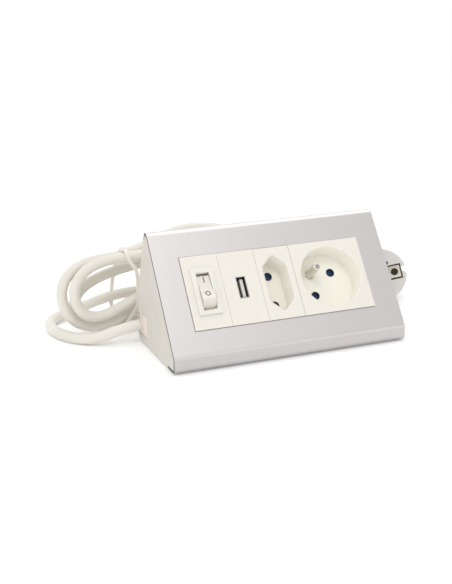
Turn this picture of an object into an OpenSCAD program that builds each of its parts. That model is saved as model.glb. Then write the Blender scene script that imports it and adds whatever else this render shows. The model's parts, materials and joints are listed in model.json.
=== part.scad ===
// Desk power strip: a wedge-shaped desktop socket block with an aluminium front cover,
// a lit-style rocker switch, a USB charging outlet, a flat two-pin socket and an earthed socket,
// with its mains lead tied up in a hank behind it.
// X runs along the strip, Y towards its back, Z up. The origin is on the desk, under the body's middle.

/* [Body] */
// Length of the body, which is the length of its aluminium cover
cover_len = 144; // [144:1:160]
// Depth of the body, from its nose to its back
body_depth = 74.4; // [74:0.1:76]
// Height of the body's top edge above the desk
body_height = 72; // [71.5:0.5:73]
// Angle of the sloping panel from the desk
slope = 55; // [54:0.5:56]
// Height of the cover's upright lip, under the sloping panel
lip_h = 9.2; // [8.8:0.1:9.6]
// Thickness of an end cap's outer plate
cap_t = 1.6; // [1.4:0.1:1.8]
// Thickness of the aluminium sheet
cover_t = 1.5; // [1:0.1:1.8]
// Thickness of the plastic casing
casing_t = 2; // [1.6:0.1:2.2]

/* [Module block] */
// Width of one module space on the panel
pitch = 22.5; // [22.5:0.1:23]
// Height of the module block, measured up the slope
block_h = 45; // [45:0.1:46]
// Distance up the slope from the panel's sharp lower corner to the block
block_start = 25.4; // [25:0.2:26]
// How far the module faces stand proud of the cover
face_proud = 0.5; // [0.2:0.1:1]

/* [Sockets] */
// Depth of both socket recesses
recess_depth = 14; // [13:0.5:15]
// Radius of the earthed socket's recess
earthed_r = 18.9; // [18.6:0.1:19.2]
// Width of the flat socket's six-sided recess
euro_w = 14.6; // [14.2:0.1:15]
// Length of the flat socket's six-sided recess
euro_h = 35.6; // [35:0.1:36.5]
// Distance between the two pin holes of the earthed socket
earthed_holes = 19; // [18.8:0.1:19.2]
// Distance between the two pin holes of the flat socket
euro_holes = 18.6; // [18.2:0.1:19]
// Travel of the safety shutters
shutter_travel = 5.8; // [5.5:0.1:6]

/* [Switch] */
// Tilt of the rocker to each side of its middle position
rocker_tilt = 16; // [12:1:16]
// Width of the rocker
rocker_w = 7.5; // [7:0.1:7.6]
// Length of the rocker's opening in the bezel
rocker_slot = 22.4; // [22.4:0.1:23]

/* [Lead and plug] */
// Diameter of the mains lead
lead_d = 6.8; // [6.4:0.1:7]
// Radius of the plug's round front
plug_r = 17.9; // [17.6:0.1:18.2]
// Radius of the plug's pins
pin_r = 2.4; // [2.35:0.01:2.45]
// Length of the plug's pins beyond its face
pin_len = 19; // [18.5:0.1:19.5]

/* [Hidden] */

$fn = 64;
arc_step = 6;      // degrees between the points of a rounded corner
gap = 0.15;        // assembly gap between neighbouring shells
foot_h = 0.6;      // how far the feet lift the casing off the desk
block_w = 5 * pitch;
half_len = cover_len / 2;
lead_r = lead_d / 2;

// ---- outline of the body's section, in the YZ plane -------------------------------------

function unit(v) = v / norm(v);
function turned(v, a) = [v.x * cos(a) - v.y * sin(a), v.x * sin(a) + v.y * cos(a)];

// Points of a round corner of radius r at b, between its neighbours a and c.
function corner(a, b, c, r) =
    let (to_a = unit(a - b), to_c = unit(c - b), half = acos(to_a * to_c) / 2)
    let (centre = b + unit(to_a + to_c) * r / sin(half))
    let (start = b + to_a * r / tan(half) - centre, bend = 180 - 2 * half)
    let (way = sign(cross(b - a, c - b)), steps = max(2, ceil(bend / arc_step)))
    [for (i = [0:steps]) centre + turned(start, way * bend * i / steps)];

function rounded(points, radii) =
    let (n = len(points))
    [for (i = [0:n - 1]) each corner(points[(i + n - 1) % n], points[i], points[(i + 1) % n], radii[i])];

// The same convex outline, moved inwards by d.
function inset(points, d) =
    let (n = len(points))
    [for (i = [0:n - 1])
        let (b = points[i], to_a = unit(points[(i + n - 1) % n] - b), to_c = unit(points[(i + 1) % n] - b))
        b + unit(to_a + to_c) * d / sin(acos(to_a * to_c) / 2)];

back_knee = 24;      // height where the leaning back meets the upright one
top_flat = 5;        // depth of the flat strip along the top
body_back = body_depth / 2;
// where the panel's plane would meet the casing's underside, in front of the lip
nose_y = -body_back - lip_h / tan(slope);
top_front_y = nose_y + (body_height - foot_h) / tan(slope);
top_back_y = top_front_y + top_flat;
section = [
    [-body_back, foot_h],
    [body_back, foot_h],
    [body_back, back_knee],
    [top_back_y, body_height],
    [top_front_y, body_height],
    [-body_back, foot_h + lip_h]
];
section_r = [3, 3.5, 60, 1, 4, 2.6];
function smaller(radii, d) = [for (r = radii) max(r - d, 0.3)];

module section_shape(d = 0) polygon(rounded(inset(section, d), smaller(section_r, d)));

back_dir = unit(section[2] - section[3]);
back_lean = -atan(back_dir.y / back_dir.x);

// The same section with the slope and the back run up to one ridge, for the shapes inside it.
ridge_rise = top_flat / (1 / tan(slope) + 1 / tan(back_lean));
ridge = [top_front_y + ridge_rise / tan(slope), body_height + ridge_rise];
inner_section = [section[0], section[1], section[2], ridge, section[5]];
inner_r = [3, 3.5, 60, 5.5, 2.6];
module inner_shape(d) polygon(rounded(inset(inner_section, d), smaller(inner_r, d)));

// Everything in front of the seam between the cover and the casing.
seam_bottom_y = -body_back + 13;
seam_top = section[3] + 4.5 * back_dir;
module cover_side() {
    across = [back_dir.y, -back_dir.x];
    polygon([
        [nose_y - 10, foot_h - 5],
        [seam_bottom_y, foot_h - 5],
        [seam_bottom_y, foot_h + 5],
        seam_top + 8 * across,
        seam_top - 8 * across,
        [seam_top.x, body_height + 12],
        [nose_y - 10, body_height + 12]
    ]);
}

// Extrudes a YZ shape along X, from x0 over a length len.
module along_x(x0, len) translate([x0, 0, 0]) rotate([90, 0, 90]) linear_extrude(len) children();

// Places children on the panel: x along the strip from the block's left edge, y up the slope
// from the block's lower edge, z out of the cover's face.
module on_block()
    translate([0, nose_y, foot_h]) rotate([slope, 0, 0]) translate([-block_w / 2, block_start, 0]) children();

module block_at(u, v, w) on_block() translate([u, v, w]) children();

// A box given by its low and high corners.
module box(low, high) translate(low) cube(high - low);

// ---- shells -------------------------------------------------------------------------------

module front_cover() color("#d6d4d3") difference() {
    along_x(-half_len, cover_len) difference() {
        intersection() { section_shape(); cover_side(); }
        section_shape(cover_t);
    }
    on_block() box([-0.25, -0.25, -6], [block_w + 0.25, block_h + 0.25, 6]);
}

screw_spots = [for (x = [-62, 62], y = [-10, 16]) [x, y]];
screw_r = 1.5;
head_r = 2.9;

module rear_casing() color("#f0ede4") difference() {
    along_x(-half_len + cap_t, cover_len - 2 * cap_t) difference() {
        section_shape();
        inner_shape(casing_t);
        offset_cover_side();
    }
    for (spot = screw_spots) translate([spot.x, spot.y, 0]) {
        cylinder(r = screw_r + 0.2, h = 6);
        cylinder(r = head_r + 0.2, h = foot_h + 1);
    }
    for (spot = foot_spots) translate([spot.x, spot.y, 0]) cylinder(r = foot_r + 0.1, h = foot_h + 0.6);
}

// The cover's region, grown by the seam gap.
module offset_cover_side() {
    cover_side();
    translate([gap, 0]) cover_side();
    translate([gap * back_dir.x, gap * back_dir.y]) cover_side();
}

foot_r = 5;
foot_spots = [for (x = [-52, 52], y = [-15, 27]) [x, y]];
module rubber_feet() color("#cfcdc8")
    for (spot = foot_spots) translate([spot.x, spot.y, 0]) cylinder(r = foot_r, h = foot_h + 0.6);

spigot = 5;        // how far a cap's inner rim reaches into the body
rim_t = 1.5;
boss_h = 12;
module cap_bosses() for (spot = screw_spots) if (spot.x > 0)
    difference() {
        box([spot.x - 4, spot.y - 4, foot_h + casing_t + gap], [half_len - cap_t, spot.y + 4, boss_h]);
        translate([spot.x, spot.y, 0]) cylinder(r = screw_r - 0.1, h = boss_h - 2);
    }

// A cap at the +X end. Its plate lies inside the cover's sheet and covers the casing's end.
module end_cap() {
    along_x(half_len - cap_t, cap_t) {
        section_shape(cover_t + gap);
        difference() {
            section_shape();
            offset_cover_side();
        }
    }
    along_x(half_len - cap_t - spigot, spigot + 0.01) difference() {
        inner_shape(casing_t + gap);
        inner_shape(casing_t + gap + rim_t);
    }
    cap_bosses();
}

module right_end_cap() color("#ebe8de") end_cap();

gland_low = [16, 5];      // lower front corner of the cord outlet's pocket, in Y and Z
gland_high = [35.2, 19];
lead_exit = [30.8, 11.1];    // Y and Z of the lead's axis where it leaves the body
pocket_r = 2;
module gland_shape(d) polygon(rounded(
    inset([gland_low, [gland_high.x, gland_low.y], gland_high, [gland_low.x, gland_high.y]], d),
    [for (i = [0:3]) pocket_r]));

module left_end_cap() color("#ebe8de") difference() {
    mirror([1, 0, 0]) end_cap();
    along_x(-half_len - 1, 1 + cap_t + spigot + 0.1) gland_shape(0);
}

// The outlet that holds the lead in the left cap.
gland_sunk = 0.6;
module cord_gland() color("#ecdfd6") difference() {
    union() {
        along_x(-half_len + gland_sunk, cap_t - gland_sunk) gland_shape(gap);
        along_x(-half_len + cap_t - 0.01, spigot) intersection() { gland_shape(gap); inner_shape(casing_t + gap); }
        translate([-half_len - 0.6, lead_exit.x, lead_exit.y]) rotate([0, 90, 0])
            cylinder(r = lead_r + 0.6, h = 3);
    }
    translate([-half_len - 10, lead_exit.x, lead_exit.y]) rotate([0, 90, 0]) cylinder(r = lead_r, h = 30);
}

module base_screws() color("#b9bcc0") for (spot = screw_spots) translate([spot.x, spot.y, 0]) {
    translate([0, 0, foot_h + 0.1]) difference() {
        cylinder(r = head_r, h = 0.9);
        box([-2, -0.35, -1], [2, 0.35, 0.45]);
        box([-0.35, -2, -1], [0.35, 2, 0.45]);
    }
    translate([0, 0, foot_h + 0.9]) cylinder(r = screw_r - 0.1, h = 7.5);
}

// ---- frame behind the cover ---------------------------------------------------------------

frame_border = 4;
frame_deep = 5;
module module_frame() color("#dcdad2") on_block() difference() {
    box([-frame_border, -frame_border, -cover_t - gap - frame_deep],
        [block_w + frame_border, block_h + frame_border, -cover_t - gap]);
    box([0, 0, -20], [block_w, block_h, 5]);
}

// ---- module inserts -----------------------------------------------------------------------

plate_t = 2;
skirt_wall = 1.2;
skirt_deep = 18;
hook_w = 8;
// A module's face plate with its skirt and snap hooks, n spaces wide, from x = 0.
module insert_blank(n) {
    wide = n * pitch;
    box([0.05, 0.05, face_proud - plate_t], [wide - 0.05, block_h - 0.05, face_proud]);
    difference() {
        box([0.3, 0.3, -skirt_deep], [wide - 0.3, block_h - 0.3, face_proud - plate_t]);
        box([0.3 + skirt_wall, 0.3 + skirt_wall, -skirt_deep - 1],
            [wide - 0.3 - skirt_wall, block_h - 0.3 - skirt_wall, face_proud - plate_t]);
    }
    for (v = [-0.6, block_h - 0.4]) box([wide / 2 - hook_w / 2, v, -9], [wide / 2 + hook_w / 2, v + 1, -7]);
}

// ---- rocker switch ------------------------------------------------------------------------

switch_at = [11.2, 22.5];          // middle of the switch on the block
bezel = [13.8, 28.2];
bezel_top = 1.9;
switch_box = [12.4, 26.6];
switch_deep = 20;
slot_w = 8;
pivot_w = -3.2;                    // the rocker's axis, below the cover's face
pivot_r = 1.3;

module at_switch() on_block() translate([switch_at.x, switch_at.y, 0]) children();
module centred_box(size, low, high) translate([-size.x / 2, -size.y / 2, low]) cube([size.x, size.y, high - low]);

module switch_module() color("#f4f1e8") difference() {
    on_block() insert_blank(1);
    at_switch() centred_box(switch_box + [0.2, 0.2], -5, 5);
}

module switch_body() color("#f3f4f4") at_switch() difference() {
    union() {
        centred_box(bezel, face_proud, bezel_top);
        centred_box(switch_box, -switch_deep, face_proud);
    }
    centred_box([slot_w, rocker_slot], 1.5 - switch_deep, bezel_top + 1);
    translate([-switch_box.x, 0, pivot_w]) rotate([0, 90, 0]) cylinder(r = pivot_r + 0.06, h = 2 * switch_box.x);
    for (v = terminal_v) translate([0, v, 0]) centred_box([4, 1.2], -switch_deep - 1, 2 - switch_deep);
}

// Side view of the rocker in its middle position, about its axis.
rocker_half = [[0, 5.4], [7.8, 6.3], [9.1, 5.4], [10.9, -0.3], [8.6, -2.6], [1.6, -3]];
leg_end = -6.5;
function mirrored(points) = [for (i = [len(points) - 1:-1:0]) [-points[i].x, points[i].y]];
module rocker_profile() polygon(concat(rocker_half, [[1.1, leg_end]], [[-1.1, leg_end]], mirrored(rocker_half)));

module switch_rocker() color("#e6dcd6") at_switch() translate([0, 0, pivot_w]) rotate([-rocker_tilt, 0, 0]) {
    translate([-rocker_w / 2, 0, 0]) rotate([90, 0, 90]) linear_extrude(rocker_w) rocker_profile();
    translate([-5.8, 0, 0]) rotate([0, 90, 0]) cylinder(r = pivot_r, h = 11.6);
}

arm_w = -11.2;                     // height of the see-saw's axis
arm_tilt = 10;
terminal_v = [0, -7.5];            // the centre terminal and the switched one
arm_pivot_r = 0.9;
module switch_contact_arm() color("#c98d5a") at_switch() translate([0, 0, arm_w]) rotate([arm_tilt, 0, 0]) {
    box([-1.5, -9, 0.5], [1.5, 9, 1.3]);
    translate([-1.5, 0, 0]) rotate([0, 90, 0]) cylinder(r = arm_pivot_r, h = 3);
    translate([0, -7.5, -0.3]) cylinder(r = 1.3, h = 0.9);
}

module switch_terminals() color("#c7a14f") at_switch() {
    box([-1.9, -0.4, -switch_deep - 7], [1.9, 0.4, arm_w - 1.8]);
    difference() {
        box([-1.9, -1.4, arm_w - 1.9], [1.9, 1.4, arm_w - 0.2]);
        translate([-3, 0, arm_w]) rotate([0, 90, 0]) cylinder(r = arm_pivot_r + 0.06, h = 6);
    }
    box([-1.9, -7.9, -switch_deep - 7], [1.9, -7.1, arm_w - 3]);
    translate([0, -7.5, arm_w - 3]) cylinder(r = 1.3, h = 0.95);
}

// ---- USB outlet ---------------------------------------------------------------------------

usb_at = [33.5, 22.3];
usb_outer = [5.7, 13.1];
usb_sheet = 0.35;
usb_deep = 13.5;
module at_usb() on_block() translate([usb_at.x, usb_at.y, 0]) children();

module usb_module() color("#f4f1e8") difference() {
    block_at(pitch, 0, 0) insert_blank(1);
    at_usb() centred_box(usb_outer + [0.2, 0.2], -4, 4);
}

module usb_shell() color("#c9c6c2") at_usb() difference() {
    centred_box(usb_outer, -usb_deep, face_proud - 0.1);
    centred_box(usb_outer - 2 * [usb_sheet, usb_sheet], -usb_deep - 1, 4);
}

tongue = [1.9, 11.2];
tongue_x = 0.75;
module usb_tongue() color("#f6f5f2") at_usb() {
    translate([tongue_x, 0, 0]) centred_box(tongue, -usb_deep + 2.5, -1.6);
    centred_box(usb_outer - 2.2 * [usb_sheet, usb_sheet], -usb_deep, -usb_deep + 2.5);
}

module usb_contacts() color("#d8b45a") at_usb() for (v = [-3.5, -1, 1, 3.5])
    translate([tongue_x - tongue.x / 2 - 0.12, v - 0.5, -usb_deep + 2.6]) cube([0.12, 1, 8]);

board_top = -usb_deep - 0.1;
module usb_board() color("#2f6b45") at_usb() centred_box([18.4, 38], board_top - 1.6, board_top);

module usb_components() color("#d9b23c") at_usb() {
    translate([-1, -8, 0]) centred_box([12, 13], board_top - 11, board_top - 1.6);
    translate([4, 10, board_top - 9.5]) cylinder(r = 4, h = 7.9);
    translate([-5, 9, 0]) centred_box([5, 9], board_top - 5, board_top - 1.6);
}

// ---- socket shutters and contacts ---------------------------------------------------------

floor_t = 2;
floor_w = -recess_depth - floor_t;
shutter_top = floor_w - 0.3;
shutter_t = 2;
housing_top = shutter_top - shutter_t - 0.3;
housing_end = -33.5;
hole_r = 2.65;
sleeve = [2.45, 3.3];

// Shutter in its own plane: x is its travel, y the line through the two pin holes.
bar = [6.8, 26];
lug_x = -9.2;
module shutter_plate() {
    centred_box(bar, shutter_top - shutter_t, shutter_top);
    box([lug_x, bar.y / 2 - 2, shutter_top - shutter_t], [-bar.x / 2 + 1, bar.y / 2, shutter_top]);
    box([lug_x, bar.y / 2 - 2, shutter_top - shutter_t], [lug_x + 1.2, bar.y / 2 + 3.6, shutter_top]);
}

// Post under a recess's floor that the far end of the spring bears on.
module spring_stop() box([spring_start + spring_len + 0.35, bar.y / 2 + 0.4, shutter_top - shutter_t],
    [spring_start + spring_len + 1.2, bar.y / 2 + 3.4, floor_w + 0.1]);

// Coil spring along +x: a round wire swept round a helix, as one solid.
function helix(r, pitch_x, turns, per_turn) =
    [for (i = [0:turns * per_turn]) let (a = 360 * i / per_turn) [pitch_x * i / per_turn, r * cos(a), r * sin(a)]];

spring_wire = 0.3;
spring_coil = 0.75;
spring_turns = 9;
spring_len = 16.4;
spring_start = lug_x + 1.2 + spring_wire + 0.1;
module shutter_spring()
    translate([spring_start, bar.y / 2 + 1.9, shutter_top - shutter_t / 2])
        tube(helix(spring_coil, spring_len / spring_turns, spring_turns, 8), spring_wire, 6);

// Tube of radius r, with n sides, along a route of points. Each ring's first side vector
// is the last one's, turned as little as the route bends, so that the tube never twists.
function tangent(route, i) = unit(route[min(i + 1, len(route) - 1)] - route[max(i - 1, 0)]);
function across(v, t) = unit(v - (v * t) * t);
function sides(route) =
    let (t = tangent(route, 0), first = across(abs(t.z) < 0.9 ? [0, 0, 1] : [0, 1, 0], t))
    [for (i = 0, s = first; i < len(route); i = i + 1, s = across(s, tangent(route, i))) s];
function ring(centre, t, side, r, n) =
    let (up = cross(t, side))
    [for (k = [0:n - 1]) centre + r * (side * cos(360 * k / n) + up * sin(360 * k / n))];

module tube(route, r, n) {
    last = len(route) - 1;
    side = sides(route);
    polyhedron(
        points = [for (i = [0:last]) each ring(route[i], tangent(route, i), side[i], r, n)],
        faces = concat(
            [[for (k = [n - 1:-1:0]) k]],
            [for (i = [0:last - 1], k = [0:n - 1])
                [i * n + k, i * n + (k + 1) % n, (i + 1) * n + (k + 1) % n, (i + 1) * n + k]],
            [[for (k = [0:n - 1]) last * n + k]]));
}

module contact_sleeve() {
    translate([0, 0, housing_end + 1.5]) difference() {
        cylinder(r = sleeve[1], h = housing_top - housing_end - 2);
        translate([0, 0, 1]) cylinder(r = sleeve[0], h = 30);
    }
    translate([0, 0, housing_end - 0.5]) cylinder(r = 1.1, h = 2.2);
}

// Rear housing of a socket: a block with a chamber for each sleeve.
module rear_housing(size, spots) difference() {
    centred_box(size, housing_end, housing_top);
    for (p = spots) translate([p.x, p.y, housing_end]) {
        translate([0, 0, 1.3]) cylinder(r = sleeve[1] + 0.1, h = 30);
        translate([0, 0, -1]) cylinder(r = 1.2, h = 4);
    }
}

// ---- flat two-pin socket ------------------------------------------------------------------

euro_at = [2.5 * pitch, block_h / 2];
euro_spots = [[0, -euro_holes / 2], [0, euro_holes / 2]];
euro_shoulder = 10.6;              // half the straight part of the recess's sides
module at_euro() on_block() translate([euro_at.x, euro_at.y, 0]) children();

module euro_outline(d) polygon([
    [-euro_w / 2 - d, -euro_shoulder], [0, -euro_h / 2 - d], [euro_w / 2 + d, -euro_shoulder],
    [euro_w / 2 + d, euro_shoulder], [0, euro_h / 2 + d], [-euro_w / 2 - d, euro_shoulder]]);

module euro_module() color("#f3efe3") difference() {
    union() {
        block_at(2 * pitch, 0, 0) insert_blank(1);
        at_euro() translate([0, 0, floor_w]) linear_extrude(-floor_w - 1) euro_outline(1.8);
        at_euro() spring_stop();
    }
    at_euro() {
        translate([0, 0, -recess_depth]) linear_extrude(recess_depth + 2) euro_outline(0);
        for (p = euro_spots) translate([p.x, p.y, floor_w - 1]) cylinder(r = hole_r, h = floor_t + 2);
    }
}

module euro_rear_housing() color("#d8d5cc") at_euro() rear_housing([18.8, 30], euro_spots);
module euro_contacts() color("#cfa64e") at_euro() for (p = euro_spots) translate(p) contact_sleeve();
module euro_shutter() color("#27406b") at_euro() shutter_plate();
module euro_shutter_spring() color("#9fa3a8") at_euro() shutter_spring();

// ---- earthed socket -----------------------------------------------------------------------

earthed_at = [4 * pitch, block_h / 2];
earthed_turn = -45;                // direction of the shutter's travel on the block
earth_offset = 10;                 // earth pin's distance from the line of the two holes
earthed_spots = [[0, -earthed_holes / 2], [0, earthed_holes / 2]];
module at_earthed() on_block() translate([earthed_at.x, earthed_at.y, 0]) children();
module at_earthed_turned() at_earthed() rotate(earthed_turn) children();

module earthed_module() color("#f3efe3") difference() {
    union() {
        block_at(3 * pitch, 0, 0) insert_blank(2);
        at_earthed() translate([0, 0, floor_w]) cylinder(r = earthed_r + 1.8, h = -floor_w - 1, $fn = 128);
        at_earthed_turned() spring_stop();
    }
    at_earthed() translate([0, 0, -recess_depth]) cylinder(r = earthed_r, h = recess_depth + 2, $fn = 128);
    at_earthed_turned() {
        for (p = earthed_spots) translate([p.x, p.y, floor_w - 1]) cylinder(r = hole_r, h = floor_t + 2);
        translate([-earth_offset, 0, floor_w - 1]) cylinder(r = shank_r + 0.1, h = floor_t + 2);
    }
}

shank_r = pin_r + 0.4;             // the earth pin's thicker part, under the recess's floor
pin_root = housing_top - 4;
module earthed_rear_housing() color("#d8d5cc") at_earthed() difference() {
    centred_box([34, 30], housing_end, housing_top);
    rotate(earthed_turn) {
        for (p = earthed_spots) translate([p.x, p.y, housing_end]) {
            translate([0, 0, 1.3]) cylinder(r = sleeve[1] + 0.1, h = 30);
            translate([0, 0, -1]) cylinder(r = 1.2, h = 4);
        }
        translate([-earth_offset, 0, pin_root]) cylinder(r = 3.8, h = 10);
        translate([-earth_offset, 0, strap_w - 1]) cylinder(r = 1.3, h = 10);
    }
    translate([-earth_offset * cos(45) - 2.5, earth_offset * sin(45) - 2.3, strap_w - 0.5]) cube([5, 30, 1]);
}

module earthed_contacts() color("#cfa64e") at_earthed_turned()
    for (p = earthed_spots) translate(p) contact_sleeve();

earth_tip_r = 1.2;
module earth_pin() color("#c8c2b4") at_earthed_turned() translate([-earth_offset, 0, 0]) {
    rotate_extrude() polygon(concat(
        [[0, pin_root + 0.1], [3.7, pin_root + 0.1], [3.7, housing_top - 0.1], [shank_r, housing_top - 0.1],
            [shank_r, -recess_depth], [pin_r, -recess_depth]],
        [for (a = [0:10:90]) [pin_r - earth_tip_r + earth_tip_r * cos(a), -1.6 + earth_tip_r * sin(a)]],
        [[0, earth_tip_r - 1.6]]));
    translate([0, 0, strap_w]) cylinder(r = 1.2, h = pin_root - strap_w + 0.5);
}

module earthed_shutter() color("#27406b") at_earthed_turned() shutter_plate();
module earthed_shutter_spring() color("#9fa3a8") at_earthed_turned() shutter_spring();

// ---- wiring -------------------------------------------------------------------------------

bus_w = housing_end - 0.6;
bus_t = 0.8;
module bus_bar(u0, u1, v0, v1) on_block() box([u0, v0, bus_w - bus_t], [u1, v1, bus_w]);

module live_bus_bar() color("#c77f4a") bus_bar(30, 99, 28, 33);
module neutral_bus_bar() color("#c77f4a") bus_bar(24, 86, 12.2, 17.2);

strap_w = -31;
module earth_bus_bar() color("#c77f4a") on_block() {
    earth_u = earthed_at.x - earth_offset * cos(45);
    earth_v = earthed_at.y + earth_offset * sin(45);
    difference() {
        box([earth_u - 2, earth_v - 2, strap_w - 0.4], [earth_u + 2, 41.4, strap_w + 0.4]);
        translate([earth_u, earth_v, strap_w - 1]) cylinder(r = 1.25, h = 3);
    }
    box([30, 38.4, strap_w - 0.4], [earth_u - 2, 41.4, strap_w + 0.4]);
}

block_low = [-50, 15.5, foot_h + casing_t];
block_size = [24, 13, 11];
terminal_x = [for (i = [0:2]) block_low.x + 4.5 + 7.5 * i];
module terminal_block() color("#e9e6dc") difference() {
    translate(block_low) cube(block_size);
    for (x = terminal_x) {
        translate([x, block_low.y + 3.5, block_low.z + 4]) cylinder(r = 1.9, h = 20);
        translate([x, block_low.y + 9.5, block_low.z + 4]) cylinder(r = 1.9, h = 20);
        translate([x, block_low.y - 1, block_low.z + 4]) rotate([-90, 0, 0]) cylinder(r = 1.5, h = 20);
    }
}

module terminal_screws() color("#c4c6c9") for (x = terminal_x, dy = [3.5, 9.5])
    translate([x, block_low.y + dy, block_low.z + 6.3]) difference() {
        cylinder(r = 1.7, h = 3.4);
        box([-2, -0.3, 2.6], [2, 0.3, 4]);
    }

core_r = 1.1;
jacket_end = -62;                  // X where the lead's jacket stops inside the body
wire_z = block_low.z + 4;
block_back = block_low.y + block_size.y;
block_front = block_low.y;
module core(points) tube(points, core_r, 8);

module live_wires() color("#7a4a2c") {
    core([[jacket_end + 0.2, 29.6, 12.7], [-58, 30, 13.6], [-53, 31, 13], [-48, 31.6, 10.5],
        [terminal_x[0] - 0.4, 30.8, wire_z + 1.2], [terminal_x[0], block_back + 0.9, wire_z],
        [terminal_x[0], block_back - 1.2, wire_z]]);
    core([[terminal_x[0], block_front + 1.2, wire_z], [terminal_x[0], block_front - 0.9, wire_z],
        [terminal_x[0], block_front - 2.6, wire_z + 1], [-45.4, 9, 11.4], [-45.1, 4.5, 15.8], [-45.1, 2.5, 17.6]]);
    core([[-45.1, 6.3, 24.4], [-44.4, 9.5, 22.6], [-38, 15.1, 23.6], [-31, 16.7, 25.6], [-25.6, 16.8, 26.6]]);
}

module neutral_wires() color("#3b6ea5") {
    core([[jacket_end + 0.2, 32.4, 9.8], [-57, 32.6, 8], [-50, 32.3, 5.8], [-44, 31.6, 5.4],
        [terminal_x[1] - 2, 31, wire_z - 0.6], [terminal_x[1], block_back + 0.9, wire_z],
        [terminal_x[1], block_back - 1.2, wire_z]]);
    core([[terminal_x[1], block_front + 1.2, wire_z], [terminal_x[1], block_front - 0.9, wire_z],
        [terminal_x[1] + 0.4, block_front - 2.6, wire_z + 0.8],
        [-35, 10.6, 9.4], [-31.4, 7.65, 13.5]]);
}

module earth_wires() color("#7d9a3a") {
    core([[jacket_end + 0.2, 29, 9.4], [-58, 26.4, 8.8], [-55.6, 22.9, 11.6], [-50.6, 22, 16.2],
        [-42, 27, 17.8], [-34, 31, 14.5], [terminal_x[2] - 0.4, 31, 9], [terminal_x[2], block_back + 0.9, wire_z],
        [terminal_x[2], block_back - 1.2, wire_z]]);
    core([[terminal_x[2], block_front + 1.2, wire_z], [terminal_x[2], block_front - 0.9, wire_z],
        [-30.4, 12.9, 8.8], [-30, 13.2, 14.5],
        [-28, 17, 19.5], [-26, 21.5, 24], [-25.4, 22, 30], [-25.2, 19.45, 36.2]]);
}

// Two short stiff leads from the charger board to the live and neutral bars.
module usb_leads() color("#b6b9bd") {
    block_at(32.2, 30.5, bus_w - bus_t) cylinder(r = 0.7, h = board_top - 1.6 - bus_w + bus_t);
    block_at(32.2, 14.7, bus_w - bus_t) cylinder(r = 0.7, h = board_top - 11 - bus_w + bus_t);
}

// Saddle that grips the lead's jacket, with its one screw.
clamp_x = [-65.2, -62.2];
clamp_top = lead_exit.y + lead_r + 2.4;
clamp_front = lead_exit.x - 8.4;
clamp_screw = [-63.5, clamp_front + 2.2];
module cord_clamp() color("#dcdad2") difference() {
    along_x(clamp_x[0], clamp_x[1] - clamp_x[0]) intersection() {
        translate([clamp_front, 0]) square([body_back - clamp_front, clamp_top]);
        inner_shape(casing_t);
    }
    translate([-80, lead_exit.x, lead_exit.y]) rotate([0, 90, 0]) cylinder(r = lead_r, h = 30);
    translate([clamp_screw.x, clamp_screw.y, 8]) cylinder(r = 0.9, h = 20);
}

module clamp_screws() color("#c4c6c9") translate(clamp_screw) {
    translate([0, 0, 8.5]) cylinder(r = 0.85, h = clamp_top - 8);
    translate([0, 0, clamp_top + 0.1]) cylinder(r = 1.7, h = 1.4);
}

// ---- mains lead ---------------------------------------------------------------------------

// From inside the body, out of the left cap, round on the desk and along behind the hank.
lead_route = [
    [jacket_end, 30.8, 11.1], [-74, 30.8, 11.1],
    [-79.1, 30.7, 10.9], [-86, 31.8, 9.2], [-93.9, 34.4, 5.8], [-101.8, 38.4, 3.7], [-108.8, 44.3, 3.5],
    [-114, 52.4, 3.5], [-117.6, 62.5, 3.5], [-119.4, 73.6, 3.5], [-118.5, 84.8, 3.5], [-114, 94.4, 3.5],
    [-107, 99.6, 4], [-97.7, 99.4, 6.4], [-89.5, 95.4, 10.2], [-81.4, 89.9, 14.2], [-71.3, 84.2, 17.6],
    [-60.1, 79.8, 19.2], [-45.9, 76.8, 19.6], [-29.8, 74.6, 18.4], [-11.6, 74, 15], [8.6, 73.9, 12],
    [26.7, 73.8, 10.2], [40.9, 73.7, 10], [51.1, 72.6, 13], [57.2, 71.2, 19]
];

module cord_lead() color("#efebe3") tube(lead_route, lead_r, 12);

plug_at = [100, 45.7, plug_r + 0.1];
plug_turn = -28.5;
plug_roll = 13.5;                  // turn about its own axis, as it lies on the desk
plug_rim = 1.5;                    // depth of the straight rim behind the face
plug_waist = [13, 18];             // radius and depth where the front's taper ends
plug_back = 30;                    // full depth of the plug
neck_z = -19;                      // depth of the lead's axis behind the face
neck_out = 21;                     // where the sleeve starts, from the plug's axis
relief_len = 24;
plug_pins_apart = 19;
plug_sleeve_end = plug_point(-neck_out - relief_len, neck_z);

// World position of a point given by its distance towards the earth hole and out of the face.
function plug_point(x, z) =
    let (out = [sin(plug_turn), -cos(plug_turn), 0], side = [cos(plug_turn), sin(plug_turn), 0])
    plug_at + x * cos(plug_roll) * side + [0, 0, x * sin(plug_roll)] + z * out;

// From the hank's right end to the plug.
tail_route = [
    [-11.5, 68.8, 24.4], [2.6, 74.6, 21.8], [15.7, 80.2, 17], [27.8, 85.2, 10.8], [38.8, 89, 5.8],
    [47.8, 90.6, 3.6], [56, 89.9, 3.7], [63.4, 87.2, 5.4],
    plug_sleeve_end
];
module cord_tail() color("#efebe3") tube(tail_route, lead_r, 12);

hank_front = 49.3;
hank_back = 70.5;
hank_outline = [[-117.2, 0.1], [64.5, 0.1], [64.5, 50.5], [14, 54], [-28, 67], [-66, 54.5], [-117.2, 54.5]];
hank_r = [24, 24, 24, 60, 50, 40, 26];
module cord_hank() color("#efebe3")
    translate([0, hank_back, 0]) rotate([90, 0, 0]) linear_extrude(hank_back - hank_front)
        polygon(rounded(hank_outline, hank_r));

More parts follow.
